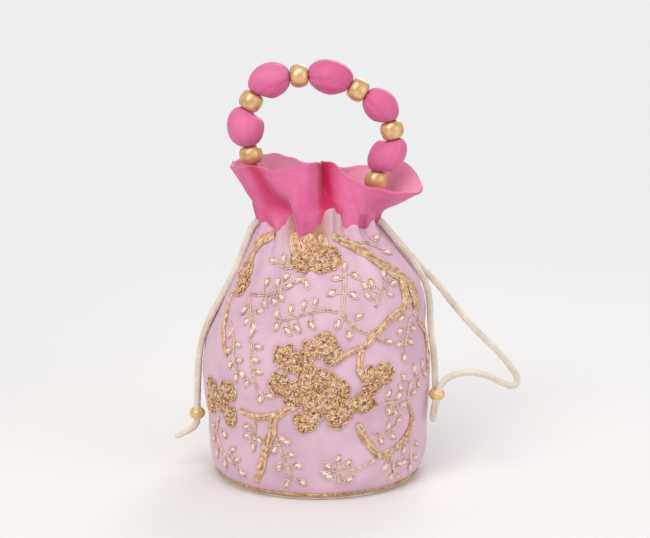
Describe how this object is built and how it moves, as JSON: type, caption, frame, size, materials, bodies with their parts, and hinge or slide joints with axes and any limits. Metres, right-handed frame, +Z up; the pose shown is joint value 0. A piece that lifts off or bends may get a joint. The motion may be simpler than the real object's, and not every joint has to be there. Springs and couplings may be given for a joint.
{
  "type": "potli bag",
  "caption": "Gathered satin drawstring pouch with gold embroidery, a pink frill above the neck, a beaded carrying handle and a drawstring on each side.",
  "frame": {"origin": "centre of the underside of the base panel", "axes": "+Z up, -Y the embroidered front, +X the side of the slack drawstring"},
  "size_m": [0.2269, 0.152, 0.2706],
  "materials": {
    "lilac_satin": "pale lilac satin with a soft sheen",
    "pink_satin": "bright pink satin with a soft sheen",
    "base_cloth": "plain pale backing cloth over a stiffener",
    "gold_thread": "gold metallic embroidery thread",
    "gold_bead": "pearly gold bead",
    "cream_cord": "twisted cream cord"
  },
  "bodies": {
    "bag": {"base_panel": "base_cloth", "base_trim": "gold_thread", "bag_body": "lilac_satin", "frill": "pink_satin", "vine_right_shoulder": "gold_thread", "blossoms_centre": "gold_thread", "vine_left": "gold_thread", "vine_lower_left": "gold_thread", "vine_lower_right": "gold_thread", "vine_right_edge": "gold_thread", "blossom_neck": "gold_thread", "vine_back_left": "gold_thread", "vine_back_right": "gold_thread", "left_neck_turn": "cream_cord", "right_neck_turn": "cream_cord", "left_strand_front": "cream_cord", "left_strand_back": "cream_cord", "left_cord_end": "cream_cord", "right_strand_short": "cream_cord", "right_strand_loop": "cream_cord", "right_cord_end_front": "cream_cord", "right_cord_end_back": "cream_cord", "left_stopper_bead": "gold_bead", "right_stopper_bead": "gold_bead"},
    "handle": {"handle_fabric": "pink_satin"},
    "bead_1": {"gold_bead_1": "gold_bead"},
    "bead_2": {"gold_bead_2": "gold_bead"},
    "bead_3": {"gold_bead_3": "gold_bead"},
    "bead_4": {"gold_bead_4": "gold_bead"},
    "bead_5": {"gold_bead_5": "gold_bead"},
    "bead_6": {"gold_bead_6": "gold_bead"}
  },
  "joints": [
    {"name": "handle_swing", "type": "hinge", "parent": "bag", "child": "handle", "pos_m": [0, 0, 0.174], "axis": [1, 0, 0], "range_deg": [-15, 15]},
    {"name": "bead_1_turn", "type": "hinge", "parent": "handle", "child": "bead_1", "pos_m": [-0.0423, 0, 0.2096], "axis": [-0.1546, 0, 0.988], "continuous": true},
    {"name": "bead_2_turn", "type": "hinge", "parent": "handle", "child": "bead_2", "pos_m": [-0.042, 0, 0.2442], "axis": [0.466, 0, 0.8848], "continuous": true},
    {"name": "bead_3_turn", "type": "hinge", "parent": "handle", "child": "bead_3", "pos_m": [-0.0114, 0, 0.2602], "axis": [0.9974, 0, 0.0716], "continuous": true},
    {"name": "bead_4_turn", "type": "hinge", "parent": "handle", "child": "bead_4", "pos_m": [0.0261, 0, 0.2513], "axis": [0.8485, 0, -0.5292], "continuous": true},
    {"name": "bead_5_turn", "type": "hinge", "parent": "handle", "child": "bead_5", "pos_m": [0.0479, 0, 0.2256], "axis": [0.2529, 0, -0.9675], "continuous": true},
    {"name": "bead_6_turn", "type": "hinge", "parent": "handle", "child": "bead_6", "pos_m": [0.038, 0, 0.1934], "axis": [-0.1097, 0, -0.994], "continuous": true}
  ]
}
